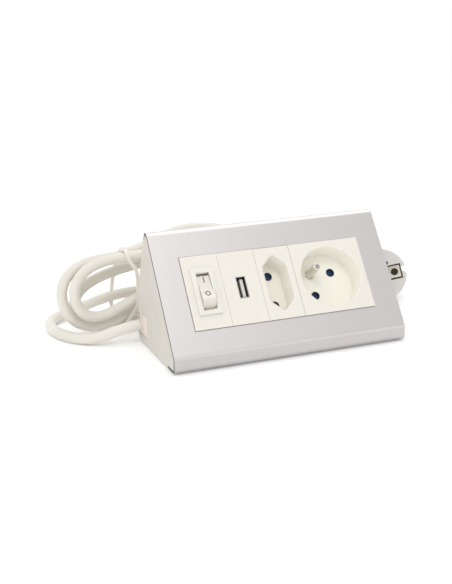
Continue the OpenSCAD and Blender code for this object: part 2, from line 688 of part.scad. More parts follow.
// A strap round all the runs of the hank.
tie_x = -69;
tie_w = 2.6;
tie_t = 1.1;
tie_low = [hank_front - 0.1, 8.5];
tie_high = [88, 55.6];
module tie_shape(d) polygon(rounded(
    inset([tie_low, [tie_high.x, 14], [tie_high.x, 26], [tie_low.x + 20, tie_high.y], [tie_low.x, tie_high.y]], d),
    [5, 4, 5, 8, 4]));
module cable_tie() color("#f1efe9") {
    along_x(tie_x - tie_w / 2, tie_w) difference() {
        tie_shape(-tie_t);
        tie_shape(0);
    }
    translate([tie_x - 2.2, hank_front + 5, tie_high.y + tie_t - 0.3]) cube([4.4, 5, 3.4]);
}

// ---- plug ---------------------------------------------------------------------------------

module at_plug() translate(plug_at) rotate([0, 0, plug_turn]) rotate([90, 0, 0]) rotate(plug_roll) children();

module plug_body() color("#eceae2") at_plug() difference() {
    union() {
        translate([0, 0, -plug_rim]) cylinder(r = plug_r, h = plug_rim, $fn = 128);
        translate([0, 0, -plug_waist[1]])
            cylinder(r1 = plug_waist[0], r2 = plug_r, h = plug_waist[1] - plug_rim, $fn = 128);
        translate([0, 0, -plug_back]) cylinder(r1 = 9.5, r2 = plug_waist[0], h = plug_back - plug_waist[1], $fn = 96);
        translate([-neck_out, 0, neck_z]) rotate([0, 90, 0]) cylinder(r = 7.6, h = neck_out);
    }
    // grooves for the socket's earth springs, and the front recess round the earth hole
    for (side = [-1, 1]) translate([side * 16.6, 0, 0])
        box([-1.8, -2.6, -plug_waist[1]], [6, 2.6, 1]);
    box([4.6, -5.2, -1.2], [14.9, 5.2, 1]);
    translate([10, 0, -14.5]) cylinder(r = 3.4, h = 20);
    for (y = [-1, 1]) translate([0, y * plug_pins_apart / 2, -9]) cylinder(r = pin_root_r + 0.02, h = 12);
    for (side = [-1, 1]) box_clip(side, 0.02);
}

module box_clip(side, grow) {
    low = side > 0 ? 14 : -14.8;
    box([low - grow, -2.4 - grow, -10 - grow], [low + 0.8 + grow, 2.4 + grow, -1]);
}

module plug_strain_relief() color("#eceae2") at_plug()
    translate([-neck_out - relief_len, 0, neck_z]) rotate([0, 90, 0]) difference() {
        cylinder(r1 = lead_r + 1, r2 = 6.4, h = relief_len);
        translate([0, 0, -1]) cylinder(r = lead_r, h = 3);
    }

pin_root_r = pin_r + 0.4;          // the pins' thicker part, held in the plug's body
module plug_pins() color("#cdb98a") at_plug() for (y = [-1, 1])
    translate([0, y * plug_pins_apart / 2, 0]) rotate_extrude() polygon(concat(
        [[0, -8.9], [pin_root_r, -8.9], [pin_root_r, 0], [pin_r, 0]],
        [for (a = [0:15:90]) [pin_r - 1 + cos(a), pin_len - 1 + sin(a)]],
        [[0, pin_len]]));

module plug_earth_sleeve() color("#c9c3b2") at_plug() translate([10, 0, -14]) difference() {
    cylinder(r = 3.3, h = 13.5);
    translate([0, 0, 0.8]) cylinder(r = pin_r + 0.05, h = 30);
}

module plug_earth_clips() color("#c9c3b2") at_plug() {
    difference() {
        box([5, -4.8, -1.15], [14.8, 4.8, -0.55]);
        translate([10, 0, -5]) cylinder(r = 3.35, h = 10);
    }
    for (side = [-1, 1]) box_clip(side, 0);
}

// ---- build --------------------------------------------------------------------------------

front_cover();
rear_casing();
left_end_cap();
right_end_cap();
module_frame();
base_screws();
rubber_feet();
switch_module();
switch_body();
switch_rocker();
switch_contact_arm();
switch_terminals();
usb_module();
usb_shell();
usb_tongue();
usb_contacts();
usb_board();
usb_components();
euro_module();
euro_rear_housing();
euro_contacts();
euro_shutter();
euro_shutter_spring();
earthed_module();
earthed_rear_housing();
earthed_contacts();
earth_pin();
earthed_shutter();
earthed_shutter_spring();
live_bus_bar();
neutral_bus_bar();
earth_bus_bar();
terminal_block();
terminal_screws();
live_wires();
neutral_wires();
earth_wires();
usb_leads();
cord_gland();
cord_clamp();
clamp_screws();
cord_lead();
cord_hank();
cord_tail();
cable_tie();
plug_body();
plug_strain_relief();
plug_pins();
plug_earth_sleeve();
plug_earth_clips();
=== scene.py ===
"""Desk power strip: camera, mains lead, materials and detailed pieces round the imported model."""

import json
import math

import bmesh
import bpy
from mathutils import Matrix, Vector

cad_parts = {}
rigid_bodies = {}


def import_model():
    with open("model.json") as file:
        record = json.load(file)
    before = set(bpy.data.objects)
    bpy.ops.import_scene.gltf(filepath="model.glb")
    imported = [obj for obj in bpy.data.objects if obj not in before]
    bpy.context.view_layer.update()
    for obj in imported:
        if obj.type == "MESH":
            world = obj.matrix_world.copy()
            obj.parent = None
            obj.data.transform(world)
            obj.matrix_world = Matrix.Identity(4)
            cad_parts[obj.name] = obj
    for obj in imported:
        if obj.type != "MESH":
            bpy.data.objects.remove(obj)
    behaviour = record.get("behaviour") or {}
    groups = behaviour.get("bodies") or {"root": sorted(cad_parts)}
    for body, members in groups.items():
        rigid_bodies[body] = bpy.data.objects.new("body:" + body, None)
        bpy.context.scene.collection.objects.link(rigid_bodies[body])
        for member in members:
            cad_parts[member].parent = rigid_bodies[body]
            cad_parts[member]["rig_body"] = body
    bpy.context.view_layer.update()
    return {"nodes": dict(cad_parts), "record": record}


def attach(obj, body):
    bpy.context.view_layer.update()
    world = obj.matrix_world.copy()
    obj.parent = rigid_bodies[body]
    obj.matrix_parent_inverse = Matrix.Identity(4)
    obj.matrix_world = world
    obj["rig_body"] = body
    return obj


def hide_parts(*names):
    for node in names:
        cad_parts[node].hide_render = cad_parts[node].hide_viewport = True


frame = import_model()
nodes = frame["nodes"]
MM = 0.001


# ---------------------------------------------------------------- camera
def make_camera():
    right = Vector((0.93837, -0.34378, -0.03562))
    up = Vector((0.12272, 0.23509, 0.96419))
    forward = Vector((0.32310, 0.90915, -0.26279))
    data = bpy.data.cameras.new("camera")
    data.sensor_width = 36.0
    data.lens = 62.73
    data.clip_start = 0.01
    data.clip_end = 50.0
    cam = bpy.data.objects.new("camera", data)
    bpy.context.scene.collection.objects.link(cam)
    turn = Matrix((right, up, -forward)).transposed()
    cam.matrix_world = Matrix.Translation((-0.22147, -0.54705, 0.19165)) @ turn.to_4x4()
    bpy.context.scene.camera = cam


make_camera()

# ---------------------------------------------------------------- where things are
SLOPE = math.radians(55)
COS, SIN = math.cos(SLOPE), math.sin(SLOPE)
NOSE_Y = -37.2 - 9.2 / math.tan(SLOPE)
FOOT = 0.6
BLOCK_START = 25.4
HALF_BLOCK = 56.25
MID_V = 22.5      # half way up the panel
FLAT_U = 56.25    # middle of the flat socket
EARTH_U = 90      # middle of the earthed socket


def on_block(u, v, w):
    """A point of the panel in metres: u along the strip, v up the slope, w out of the face, all in mm."""
    along = BLOCK_START + v
    return Vector((u - HALF_BLOCK, NOSE_Y + along * COS - w * SIN, FOOT + along * SIN + w * COS)) * MM


def to_block(p):
    """The panel coordinates, in mm, of a point in metres."""
    y, z = p.y / MM - NOSE_Y, p.z / MM - FOOT
    return Vector((p.x / MM + HALF_BLOCK, y * COS + z * SIN - BLOCK_START, -y * SIN + z * COS))


PLUG_AT = Vector((100.0, 45.7, 18.0))
PLUG_TURN = math.radians(-28.5)
PLUG_ROLL = math.radians(13.5)
PLUG_OUT = Vector((math.sin(PLUG_TURN), -math.cos(PLUG_TURN), 0))
LEVEL = Vector((math.cos(PLUG_TURN), math.sin(PLUG_TURN), 0))
PLUG_SIDE = LEVEL * math.cos(PLUG_ROLL) + Vector((0, 0, math.sin(PLUG_ROLL)))
PLUG_UP = Vector((0, 0, math.cos(PLUG_ROLL))) - LEVEL * math.sin(PLUG_ROLL)


def on_plug(x, y, z):
    """A point of the plug in metres: x towards the earth hole, y towards a pin, z out of its face, all in mm."""
    return (PLUG_AT + PLUG_SIDE * x + PLUG_UP * y + PLUG_OUT * z) * MM


def to_plug(p):
    d = p / MM - PLUG_AT
    return Vector((d.dot(PLUG_SIDE), d.dot(PLUG_UP), d.dot(PLUG_OUT)))


# ---------------------------------------------------------------- material helpers
class Nodes:
    """Small helper round one material's node tree."""

    def __init__(self, name):
        self.mat = bpy.data.materials.new(name)
        self.mat.use_nodes = True
        self.tree = self.mat.node_tree
        self.shader = self.tree.nodes["Principled BSDF"]
        self.coord = self.tree.nodes.new("ShaderNodeTexCoord")

    def add(self, kind, **values):
        node = self.tree.nodes.new(kind)
        for key, value in values.items():
            if key in node.inputs:
                node.inputs[key].default_value = value
            else:
                setattr(node, key, value)
        return node

    def link(self, a, b):
        self.tree.links.new(a, b)

    def position(self, stretch=(1, 1, 1)):
        place = self.add("ShaderNodeMapping")
        place.inputs["Scale"].default_value = stretch
        self.link(self.coord.outputs["Object"], place.inputs["Vector"])
        return place.outputs["Vector"]

    def noise(self, scale, detail=3.0, rough=0.55, stretch=(1, 1, 1)):
        node = self.add("ShaderNodeTexNoise", Scale=scale, Detail=detail, Roughness=rough)
        self.link(self.position(stretch), node.inputs["Vector"])
        return node.outputs["Fac"]

    def ramp(self, fac, stops):
        node = self.add("ShaderNodeValToRGB")
        elements = node.color_ramp.elements
        while len(elements) < len(stops):
            elements.new(0.5)
        for element, (at, colour) in zip(elements, stops):
            element.position = at
            element.color = (*colour, 1) if len(colour) == 3 else colour
        self.link(fac, node.inputs["Fac"])
        return node.outputs["Color"]

    def spread(self, fac, low, high):
        node = self.add("ShaderNodeMapRange")
        node.inputs["To Min"].default_value = low
        node.inputs["To Max"].default_value = high
        self.link(fac, node.inputs["Value"])
        return node.outputs["Result"]

    def bump(self, height, strength, distance):
        node = self.add("ShaderNodeBump", Strength=strength, Distance=distance)
        self.link(height, node.inputs["Height"])
        self.link(node.outputs["Normal"], self.shader.inputs["Normal"])
        return node


def tone(colour, factor):
    return tuple(min(1.0, c * factor) for c in colour)


def plastic(name, colour, rough=0.42, vary=0.03, grain=1400.0, grain_depth=0.00003, ior=1.46, soft=0.0, coat=0.0):
    """Moulded plastic: a cloudy tint, uneven gloss and a fine moulded grain."""
    m = Nodes(name)
    cloud = m.noise(45.0, 3.0)
    m.link(m.ramp(cloud, [(0.3, tone(colour, 1 - vary)), (0.7, tone(colour, 1 + vary))]), m.shader.inputs["Base Color"])
    m.link(m.spread(m.noise(180.0, 4.0), rough - 0.05, rough + 0.06), m.shader.inputs["Roughness"])
    m.bump(m.noise(grain, 2.0), 0.22, grain_depth)
    m.shader.inputs["IOR"].default_value = ior
    m.shader.inputs["Coat Weight"].default_value = coat
    if soft:
        m.shader.inputs["Subsurface Weight"].default_value = soft
        m.shader.inputs["Subsurface Radius"].default_value = (0.6, 0.5, 0.4)
        m.shader.inputs["Subsurface Scale"].default_value = 0.003
    return m.mat


def metal(name, colour, rough=0.3, vary=0.04, grain=900.0, stretch=(1, 1, 1), depth=0.00002, strength=0.12):
    """Bare or plated metal with a fine grain that may run one way."""
    m = Nodes(name)
    m.shader.inputs["Metallic"].default_value = 1.0
    tint = m.noise(60.0, 3.0)
    m.link(m.ramp(tint, [(0.3, tone(colour, 1 - vary)), (0.7, tone(colour, 1 + vary))]), m.shader.inputs["Base Color"])
    m.link(m.spread(m.noise(240.0, 5.0, stretch=stretch), rough - 0.06, rough + 0.07), m.shader.inputs["Roughness"])
    m.bump(m.noise(grain, 3.0, stretch=stretch), strength, depth)
    return m.mat


def rubbery(name, colour):
    m = Nodes(name)
    tint = m.ramp(m.noise(300.0, 4.0), [(0.3, tone(colour, 0.94)), (0.7, tone(colour, 1.04))])
    m.link(tint, m.shader.inputs["Base Color"])
    m.link(m.spread(m.noise(500.0), 0.62, 0.82), m.shader.inputs["Roughness"])
    m.bump(m.noise(2600.0, 3.0), 0.3, 0.00005)
    return m.mat


def board_material():
    """Green lacquered board with a faint pattern of tracks."""
    m = Nodes("board_lacquer")
    brick = m.add("ShaderNodeTexBrick", Scale=260.0)
    brick.inputs["Color1"].default_value = (0.020, 0.115, 0.050, 1)
    brick.inputs["Color2"].default_value = (0.030, 0.150, 0.065, 1)
    brick.inputs["Mortar"].default_value = (0.060, 0.230, 0.100, 1)
    m.link(m.position(), brick.inputs["Vector"])
    m.link(brick.outputs["Color"], m.shader.inputs["Base Color"])
    m.link(m.spread(m.noise(300.0), 0.25, 0.4), m.shader.inputs["Roughness"])
    m.bump(brick.outputs["Fac"], 0.2, 0.00004)
    return m.mat


def lead_material():
    """Soft PVC lead: warm white with a slow drift of tint, a satin skin and a faint fine grain."""
    m = Nodes("lead_pvc")
    drift = m.noise(22.0, 3.0)
    m.link(
        m.ramp(drift, [(0.3, (0.715, 0.682, 0.612)), (0.55, (0.745, 0.715, 0.652)), (0.75, (0.765, 0.738, 0.680))]),
        m.shader.inputs["Base Color"],
    )
    m.link(m.spread(m.noise(130.0, 4.0), 0.36, 0.5), m.shader.inputs["Roughness"])
    m.bump(m.noise(520.0, 4.0), 0.25, 0.00005)
    m.shader.inputs["IOR"].default_value = 1.5
    m.shader.inputs["Subsurface Weight"].default_value = 0.12
    m.shader.inputs["Subsurface Radius"].default_value = (0.8, 0.6, 0.4)
    m.shader.inputs["Subsurface Scale"].default_value = 0.003
    return m.mat


def dark(name, colour=(0.015, 0.014, 0.014)):
    m = Nodes(name)
    m.link(m.ramp(m.noise(700.0), [(0.3, tone(colour, 0.7)), (0.7, tone(colour, 1.4))]), m.shader.inputs["Base Color"])
    m.link(m.spread(m.noise(400.0), 0.45, 0.65), m.shader.inputs["Roughness"])
    m.bump(m.noise(1500.0), 0.15, 0.00002)
    return m.mat


def aluminium_material():
    """Satin anodised sheet: metallic, with a fine sandy grain, and painted shade darkening the lip under its lower
    bend.
    """
    m = Nodes("anodised_aluminium")
    m.shader.inputs["Metallic"].default_value = 1.0
    tint = m.ramp(m.noise(12.0, 2.0), [(0.25, (0.760, 0.732, 0.720)), (0.75, (0.785, 0.760, 0.748))])
    height = m.add("ShaderNodeSeparateXYZ")
    m.link(m.coord.outputs["Object"], height.inputs["Vector"])
    # painted shade: the base colour drops to 0.74 of itself below 8.2 mm height, darkening the lower lip
    shade = m.add("ShaderNodeMapRange")
    for name, value in (("From Min", 0.0082), ("From Max", 0.0108), ("To Min", 0.74), ("To Max", 1.0)):
        shade.inputs[name].default_value = value
    m.link(height.outputs["Z"], shade.inputs["Value"])
    darker = m.add("ShaderNodeVectorMath", operation="SCALE")
    m.link(tint, darker.inputs[0])
    m.link(shade.outputs["Result"], darker.inputs["Scale"])
    m.link(darker.outputs["Vector"], m.shader.inputs["Base Color"])
    m.link(m.spread(m.noise(3200.0, 2.0), 0.40, 0.50), m.shader.inputs["Roughness"])
    m.bump(m.noise(5200.0, 2.0), 0.18, 0.00002)
    return m.mat


WARM = (0.780, 0.752, 0.685)
MATERIALS = {
    "aluminium": aluminium_material(),
    "casing": plastic("casing_white", (0.740, 0.720, 0.660), 0.5, grain_depth=0.00006),
    "cap": plastic("cap_white", (0.630, 0.605, 0.548), 0.5, grain_depth=0.00006),
    "module": plastic("module_white", WARM, 0.36, vary=0.012),
    "cool_white": plastic("bezel_white", (0.775, 0.760, 0.700), 0.3, vary=0.01),
    "rocker": plastic("rocker_pearl", (0.745, 0.700, 0.635), 0.28, vary=0.02, soft=0.25, coat=0.2),
    "inner_plastic": plastic("inner_white", (0.70, 0.69, 0.64), 0.5),
    "shutter": plastic("shutter_blue", (0.018, 0.050, 0.130), 0.4),
    "brass": metal("brass", (0.72, 0.52, 0.22), 0.28),
    "copper": metal("copper", (0.72, 0.38, 0.20), 0.3),
    "steel": metal("steel", (0.62, 0.62, 0.62), 0.28),
    "nickel": metal("nickel", (0.72, 0.68, 0.60), 0.2),
    "rubber": rubbery("foot_rubber", (0.62, 0.60, 0.55)),
    "gland": plastic("gland_natural", (0.800, 0.715, 0.655), 0.36, soft=0.3),
    "cord": lead_material(),
    "plug": plastic("plug_white", (0.680, 0.665, 0.645), 0.4, grain_depth=0.00005),
    "board": board_material(),
    "component": plastic("taped_yellow", (0.68, 0.50, 0.10), 0.35),
    "core_brown": plastic("core_brown", (0.18, 0.07, 0.03), 0.4),
    "core_blue": plastic("core_blue", (0.04, 0.16, 0.38), 0.4),
    "core_green": plastic("core_green", (0.20, 0.34, 0.04), 0.4),
}
INK = dark("mark_ink", (0.030, 0.026, 0.028))
# Dark material for the plug's painted shade (gap ring, earth hole bottom) and its flat dark oval.
DARK_AND_PAINTED_SHADE = dark("plug_dark_and_painted_shade")
# Black painted shade for the walls of pin holes and the inside of the USB outlet.
BLACK_PAINTED_SHADE = dark("socket_painted_shade", (0.022, 0.013, 0.009))
# A lighter copy of the module plastic for inside the socket recesses: painted light that lifts their shade.
PAINTED_LIGHT_RECESS = plastic("recess_painted_light", (0.930, 0.905, 0.830), 0.36, vary=0.012, soft=0.35)


def paint(obj, material):
    if len(obj.data.materials):
        obj.data.materials.clear()
    obj.data.materials.append(material)


# ---------------------------------------------------------------- mesh helpers
def link(mesh, name):
    obj = bpy.data.objects.new(name, mesh)
    bpy.context.scene.collection.objects.link(obj)
    return obj


def even_shading(obj):
    even = obj.modifiers.new("even_shading", "WEIGHTED_NORMAL")
    even.mode = "FACE_AREA"
    even.weight = 100
    even.keep_sharp = True


def bevelled(obj, width, segments=3, weighted=False, angle=30):
    mod = obj.modifiers.new("soft_edges", "BEVEL")
    mod.width = width * MM
    mod.segments = segments
    mod.limit_method = "WEIGHT" if weighted else "ANGLE"
    mod.angle_limit = math.radians(angle)
    mod.use_clamp_overlap = True
    mod.harden_normals = False
    mod.miter_outer = "MITER_ARC"
    even_shading(obj)


def remake(node, name, width, weight=None, segments=3, angle=30, material=None, shape=None):
    """A copy of a CAD node's shape, cleaned to whole faces, with its sharp edges rounded.

    weight(midpoint) gives the share of width that an edge takes."""
    source = nodes[node]
    bm = bmesh.new()
    bm.from_mesh(source.data)
    bmesh.ops.remove_doubles(bm, verts=bm.verts, dist=2e-6)
    bmesh.ops.dissolve_limit(bm, angle_limit=math.radians(0.4), verts=bm.verts, edges=bm.edges)
    bm.normal_update()
    if shape:
        shape(bm)
    bm.normal_update()
    layer = bm.edges.layers.float.new("bevel_weight_edge")
    for edge in bm.edges:
        if len(edge.link_faces) != 2:
            continue
        bend = edge.calc_face_angle(0)
        edge.smooth = bend < math.radians(angle)
        if bend > math.radians(angle):
            edge[layer] = weight((edge.verts[0].co + edge.verts[1].co) / 2) if weight else 1.0
    for face in bm.faces:
        face.smooth = True
    mesh = bpy.data.meshes.new(name)
    bm.to_mesh(mesh)
    bm.free()
    obj = link(mesh, name)
    if width:
        bevelled(obj, width, segments, weighted=True)
    paint(obj, material or MATERIALS[RECORD_SLOT[node]])
    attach(obj, source["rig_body"])
    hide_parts(node)
    return obj


def smooth_route(points, step=2.0, passes=14):
    """Points in mm to an even, relaxed centre line in metres, with its two ends kept."""
    pts = [Vector(p) for p in points]
    pts = [2 * pts[0] - pts[1], *pts, 2 * pts[-1] - pts[-2]]
    dense = []
    for p0, p1, p2, p3 in zip(pts, pts[1:], pts[2:], pts[3:]):
        count = max(2, round((p2 - p1).length / step * 2))
        t0 = 0.0
        t1 = t0 + (p1 - p0).length ** 0.5
        t2 = t1 + (p2 - p1).length ** 0.5
        t3 = t2 + (p3 - p2).length ** 0.5
        for k in range(count):
            t = t1 + (t2 - t1) * k / count
            a1 = p0 * ((t1 - t) / (t1 - t0)) + p1 * ((t - t0) / (t1 - t0))
            a2 = p1 * ((t2 - t) / (t2 - t1)) + p2 * ((t - t1) / (t2 - t1))
            a3 = p2 * ((t3 - t) / (t3 - t2)) + p3 * ((t - t2) / (t3 - t2))
            b1 = a1 * ((t2 - t) / (t2 - t0)) + a2 * ((t - t0) / (t2 - t0))
            b2 = a2 * ((t3 - t) / (t3 - t1)) + a3 * ((t - t1) / (t3 - t1))
            dense.append(b1 * ((t2 - t) / (t2 - t1)) + b2 * ((t - t1) / (t2 - t1)))
    dense.append(pts[-2])
    even = [dense[0]]
    left = step
    for a, b in zip(dense, dense[1:]):
        run = (b - a).length
        at = left
        while at < run:
            even.append(a.lerp(b, at / run))
            at += step
        left = at - run
    even.append(dense[-1])
    for _ in range(passes):
        even = [even[0], even[1]] + [
            even[i] * 0.5 + (even[i - 1] + even[i + 1]) * 0.25 for i in range(2, len(even) - 2)
        ] + [even[-2], even[-1]]
    return [p * MM for p in even]


RECORD_SLOT = {s["node"]: s["material_slot"] for s in frame["record"]["subparts"]}

# ---------------------------------------------------------------- mains lead
LEAD_D = 6.8
OUT_OF_BODY = [
    (-72.8, 30.8, 11.1), (-79.1, 30.7, 10.9), (-86, 31.8, 9.2), (-93.9, 34.4, 5.8), (-101.6, 38.4, 3.7),
    (-108.2, 44.3, 3.4), (-114, 52.4, 3.4), (-117.6, 62.5, 3.4), (-119.4, 73.6, 3.4), (-118.5, 84.8, 3.4),
    (-114, 94.4, 3.4), (-107, 99.6, 4), (-97.7, 99.4, 6.4), (-89.5, 95.4, 10.2), (-81.4, 89.9, 14.2),
    (-71.3, 84.2, 17.6), (-60.1, 79.8, 19.2), (-45.9, 76.8, 19.6), (-29.8, 74.6, 18.4), (-11.6, 74, 15),
    (8.6, 73.9, 12), (26.7, 73.8, 10.2),
]
FOLD_X = 44.8


def right_fold(y0, y1, low, high):
    """The half turn at a run's right end, from z low up to z high, drifting from y0 to y1."""
    r, z = (high - low) / 2, (high + low) / 2
    return [
        (FOLD_X + r * math.cos(math.radians(a)), y0 + (y1 - y0) * (a + 90) / 180, z + r * math.sin(math.radians(a)))
        for a in range(-90, 91, 30)
    ]


BACK_TURN = right_fold(73.8, 68.3, 9.8, 46) + [
    (23.4, 68.3, 48), (3.1, 68.3, 48.4), (-17.2, 68.3, 47.4), (-39.5, 68.1, 43.6), (-60.9, 67.9, 40.4),
    (-72, 67.8, 38.6), (-82.8, 67.7, 36.3), (-94.4, 67.4, 32), (-103, 67.2, 26), (-106.3, 66.9, 19),
    (-104.1, 66.6, 11.6), (-96.6, 66.4, 6.8), (-85.5, 66.3, 5.2), (-68.4, 66.3, 5), (-46.1, 66.3, 5),
    (-21.9, 66.3, 4.4), (2.4, 66.3, 3.8), (22.6, 66, 3.6),
]
MIDDLE_TURN = right_fold(65.2, 61, 4, 46) + [
    (23.5, 61.3, 51), (5.3, 61.6, 55), (-12.8, 61.9, 59.4), (-27, 62, 61), (-41.3, 61.8, 59), (-53.5, 61.6, 55),
    (-63.8, 61.3, 51), (-75, 61.1, 48.2), (-85.1, 61.1, 47.6), (-93.2, 61.1, 46.9), (-100.7, 61, 45.2),
    (-106.5, 60.8, 42.2), (-111, 60.5, 37.8), (-113.6, 60.3, 32.4), (-114.3, 60, 26.4), (-112.9, 59.7, 18.6),
    (-108.7, 59.4, 11.4), (-101.7, 59.2, 6.4), (-92.6, 59.2, 5.2), (-82.5, 59.2, 7.4), (-72.3, 59.4, 11.2),
    (-60.2, 59.5, 13.8), (-44, 59.5, 13.4), (-25.8, 59.3, 10.2), (-5.7, 59.2, 6.4), (16.5, 58.9, 4),
]
FRONT_TURN = right_fold(58.3, 53.6, 4, 42) + [
    (23.4, 53.8, 46), (5.2, 54, 49.6), (-13, 54.2, 52), (-31.3, 54.2, 52.4), (-49.6, 54.1, 50.4), (-63.8, 54, 48.9),
    (-72.9, 54, 48.7), (-82.1, 53.9, 48.5), (-91.2, 53.9, 47), (-98.5, 53.7, 44), (-103.9, 53.4, 39.4),
    (-106.7, 53.1, 33.6), (-107.6, 52.9, 27.6), (-106.5, 52.6, 21.2), (-103.1, 52.4, 15.8), (-97.2, 52.3, 12.8),
    (-90.1, 52.3, 13.2), (-81.7, 52.4, 16.2), (-75.3, 52.5, 19), (-68.9, 52.6, 21.8),
]
SLEEVE_END = on_plug(-45, 0, -19) / MM
TO_PLUG = [
    (-58, 53.7, 25), (-43.9, 57, 26.4), (-27.7, 62.4, 26), (-11.5, 68.8, 24.4), (2.6, 74.6, 21.8), (15.7, 80.2, 17),
    (27.8, 85.2, 10.8), (38.8, 89, 5.8), (47.8, 90.6, 3.6), (56, 89.9, 3.7), (63.4, 87.2, 5.4), tuple(SLEEVE_END),
]


def make_lead():
    line = smooth_route(OUT_OF_BODY + BACK_TURN + MIDDLE_TURN + FRONT_TURN + TO_PLUG)
    curve = bpy.data.curves.new("mains_lead", "CURVE")
    curve.dimensions = "3D"
    curve.bevel_depth = LEAD_D / 2 * MM
    curve.bevel_resolution = 5
    curve.use_fill_caps = True
    spline = curve.splines.new("POLY")
    spline.points.add(len(line) - 1)
    for point, p in zip(spline.points, line):
        point.co = (*p, 1)
    obj = bpy.data.objects.new("mains_lead", curve)
    bpy.context.scene.collection.objects.link(obj)
    curve.materials.append(MATERIALS["cord"])
    spline.use_smooth = True
    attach(obj, "body")
    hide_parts("cord_lead", "cord_hank", "cord_tail")
    return obj, line


lead, lead_line = make_lead()


# ---------------------------------------------------------------- cable tie
def make_tie():
    """A thin strap pulled loosely round the runs of the hank, with its head on top."""
    loop = [
        (-73.2, 52.8, 53.1), (-72.6, 49.9, 50), (-71.6, 49.1, 46.4), (-69.7, 49, 43.6), (-68.2, 49, 40.5),
        (-67.6, 49, 35.7), (-67.6, 49, 29.9), (-67.8, 49, 24.1), (-68.4, 49.2, 18.5), (-70.6, 51, 13.6),
        (-73.4, 55.4, 7.6), (-74.8, 60.5, 3), (-75.6, 66.5, 1), (-76.2, 74, 1.6), (-76.4, 82, 4.6),
        (-76.2, 88.4, 9), (-75.5, 91.4, 13.4), (-74.8, 91.8, 18.3), (-74.4, 90.6, 23.7), (-74, 87.5, 29.5),
        (-73.6, 81, 38), (-73.3, 73, 46), (-73.2, 65, 51.4), (-73.4, 58.5, 53.2),
    ]
    route = [Vector(p) for p in loop]
    dense = []
    n = len(route)
    for i in range(n):
        p0, p1, p2, p3 = (route[(i + k) % n] for k in (-1, 0, 1, 2))
        for k in range(8):
            t = k / 8
            dense.append(
                0.5 * ((2 * p1) + (p2 - p0) * t + (2 * p0 - 5 * p1 + 4 * p2 - p3) * t * t
                       + (3 * p1 - p0 - 3 * p2 + p3) * t ** 3)
            )
    bm = bmesh.new()
    rings = []
    count = len(dense)
    middle = sum(dense, Vector()) / count
    for i, p in enumerate(dense):
        t = (dense[(i + 1) % count] - dense[i - 1]).normalized()
        out = (p - middle)
        out = (out - out.dot(t) * t).normalized()
        wide = t.cross(out)
        profile = [
            (-1.25, -0.35), (-1.1, -0.5), (1.1, -0.5), (1.25, -0.35),
            (1.25, 0.35), (1.1, 0.5), (-1.1, 0.5), (-1.25, 0.35),
        ]
        rings.append([bm.verts.new((p + wide * a + out * b) * MM) for a, b in profile])
    for i in range(count):
        a, b = rings[i], rings[(i + 1) % count]
        for k in range(len(a)):
            bm.faces.new((a[k], a[(k + 1) % len(a)], b[(k + 1) % len(a)], b[k]))
    t = (Vector(loop[1]) - Vector(loop[-1])).normalized()
    side = Vector((1, 0, 0))
    side = (side - side.dot(t) * t).normalized()
    up = t.cross(side)
    # the head: a block that the strap's end passes through
    turn = Matrix((t * 2.4, side * 2.2, up * 1.3)).transposed()
    for v in bmesh.ops.create_cube(bm, size=2.0)["verts"]:
        v.co = (turn @ v.co + Vector((-73.5, 57.4, 52.6))) * MM
    bmesh.ops.recalc_face_normals(bm, faces=bm.faces)
    mesh = bpy.data.meshes.new("tie_strap")
    bm.to_mesh(mesh)
    bm.free()
    obj = link(mesh, "tie_strap")
    bevelled(obj, 0.3, 2, angle=50)
    paint(obj, TIE)
    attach(obj, "body")
    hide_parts("cable_tie")
    return obj


TIE = plastic("tie_natural", (0.79, 0.755, 0.685), 0.34, soft=0.2)
tie = make_tie()

# ---------------------------------------------------------------- shells
def add_material(obj, material):
    """One more material, for the faces marked with the next index: 1 first, then 2."""
    obj.data.materials.append(material)


# The cover's end faces get index 1: a near-black painted shade for the shadowed gap at the caps.
def cut_ends(bm):
    for face in bm.faces:
        if abs(face.normal.x) > 0.9 and abs(face.calc_center_median().x) > 0.07:
            face.material_index = 1


CAP_FACE = 0.0712    # beyond this, an edge belongs to a cap's outer face
# near-black painted shade on the cover's cut ends
CUT_END_PAINTED_SHADE = metal("sheet_edge_painted_shade", (0.085, 0.083, 0.080), 0.45)
cover = remake("front_cover", "cover_sheet", 0.18, segments=2, shape=cut_ends)
add_material(cover, CUT_END_PAINTED_SHADE)
remake("rear_casing", "casing_shell", 0.3, segments=2)
remake("left_end_cap", "cap_left", 0.3, segments=3, weight=lambda p: 1.0 if p.x < -CAP_FACE else 0.3)
remake("right_end_cap", "cap_right", 0.3, segments=3, weight=lambda p: 1.0 if p.x > CAP_FACE else 0.3)
gland = remake("cord_gland", "cord_outlet", 0.5, segments=3)


# ---------------------------------------------------------------- panel
def mouth_weight(p):
    """Recess mouths are well rounded, other edges of an insert only a little."""
    b = to_block(p)
    if b.z < -1:
        return 0.12
    u, v = b.x, b.y - MID_V
    if abs(u - EARTH_U) < 21 and math.hypot(u - EARTH_U, v) < 20:
        return 1.0
    if abs(u - FLAT_U) < 9 and abs(v) < 19:
        return 0.7
    return 0.2


FLOOR_W = -14.02      # just under the earthed recess's floor
HOLE_END_W = -16.2    # just under the end of its pin holes
LIP_W = -0.6          # where the recess's rounded lip ends


def hole_walls(bm):
    """Marks the earthed insert's faces: 1 on the walls of its pin holes, for black painted shade, 2 inside its recess,
    for painted light.
    """
    across = 9.5 * math.sin(math.radians(45))
    for face in bm.faces:
        b = to_block(face.calc_center_median())
        u, v = b.x - EARTH_U, b.y - MID_V
        if FLOOR_W < b.z < LIP_W and math.hypot(u, v) < 19.1:
            face.material_index = 2
        elif HOLE_END_W <= b.z <= FLOOR_W:
            if min(math.hypot(u - side * across, v - side * across) for side in (-1, 1)) < 2.9:
                face.material_index = 1


# The flat socket's insert, built up ring by ring, in mm from the middle of its space.
FLAT_CORNERS = [(-7.3, -10.6), (0, -17.8), (7.3, -10.6), (7.3, 10.6), (0, 17.8), (-7.3, 10.6)]
FLAT_HOLES = [(0, -9.3), (0, 9.3)]


